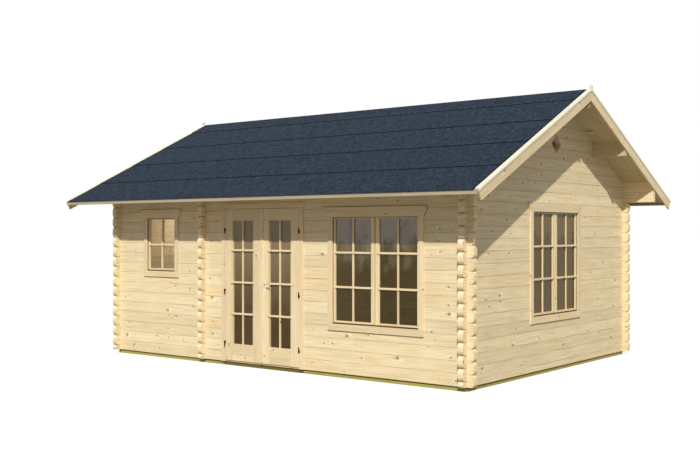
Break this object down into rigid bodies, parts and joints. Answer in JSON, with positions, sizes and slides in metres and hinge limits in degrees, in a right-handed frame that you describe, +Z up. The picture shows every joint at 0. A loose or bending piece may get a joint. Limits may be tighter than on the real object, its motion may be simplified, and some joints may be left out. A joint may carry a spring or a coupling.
{
  "type": "log cabin",
  "caption": "Garden log cabin with a hollow two-room interior, glazed double doors that open outwards, casement windows and a felted saddle roof.",
  "frame": {"origin": "on the ground below the middle of the ridge, at the middle of the roof's plan", "axes": "+X along the ridge towards the gable with a window, -Y out of the front wall with the doors, +Z up"},
  "size_m": [6.8, 5.4, 3.5302],
  "materials": {
    "log_wood": "planed, untreated spruce",
    "joinery_wood": "planed, untreated spruce",
    "roof_wood": "planed, untreated spruce",
    "treated_wood": "sawn, green pressure treatment",
    "floor_wood": "planed, untreated spruce",
    "roof_felt": "mineral-faced felt",
    "glass": "clear",
    "dark_metal": "dark, satin",
    "steel": "satin"
  },
  "bodies": {
    "cabin": {"foundation_beams": "treated_wood", "foundation_joists": "treated_wood", "floor_boards": "floor_wood", "front_wall_left": "log_wood", "front_wall_right": "log_wood", "front_wall_over_door": "log_wood", "front_plate_logs": "log_wood", "back_wall": "log_wood", "back_plate_logs": "log_wood", "right_gable_wall": "log_wood", "right_gable_top": "log_wood", "left_gable_wall": "log_wood", "partition_wall": "log_wood", "partition_top": "log_wood", "ridge_purlin": "roof_wood", "side_purlins": "roof_wood", "front_roof_boards": "roof_wood", "back_roof_boards": "roof_wood", "front_roof_felt": "roof_felt", "back_roof_felt": "roof_felt", "ridge_felt": "roof_felt", "eave_fascias": "joinery_wood", "front_bargeboards": "joinery_wood", "back_bargeboards": "joinery_wood", "front_barge_caps": "joinery_wood", "back_barge_caps": "joinery_wood", "front_window_frame": "joinery_wood", "front_window_sashes": "joinery_wood", "front_window_glass": "glass", "gable_window_frame": "joinery_wood", "gable_window_sashes": "joinery_wood", "gable_window_glass": "glass", "small_window_frame": "joinery_wood", "small_window_sash": "joinery_wood", "small_window_glass": "glass", "door_frame": "joinery_wood", "hinge_pins": "dark_metal"},
    "left_door": {"left_door_leaf": "joinery_wood", "left_door_glass": "glass", "left_door_hinges": "dark_metal"},
    "right_door": {"right_door_leaf": "joinery_wood", "right_door_glass": "glass", "right_door_hinges": "dark_metal", "door_lock_plates": "steel"},
    "door_lever": {"door_lever": "steel"}
  },
  "joints": [
    {"name": "left_door_hinge", "type": "hinge", "parent": "cabin", "child": "left_door", "pos_m": [-0.732, -2.1705, 0.05], "axis": [0, 0, -1], "range_deg": [0, 155]},
    {"name": "right_door_hinge", "type": "hinge", "parent": "cabin", "child": "right_door", "pos_m": [0.542, -2.1705, 0.05], "axis": [0, 0, 1], "range_deg": [0, 155]},
    {"name": "lever_turn", "type": "hinge", "parent": "right_door", "child": "door_lever", "pos_m": [-0.031, -2.14, 1.06], "axis": [0, 1, 0], "range_deg": [0, 35], "stiffness_Nm_per_rad": 1.2}
  ]
}
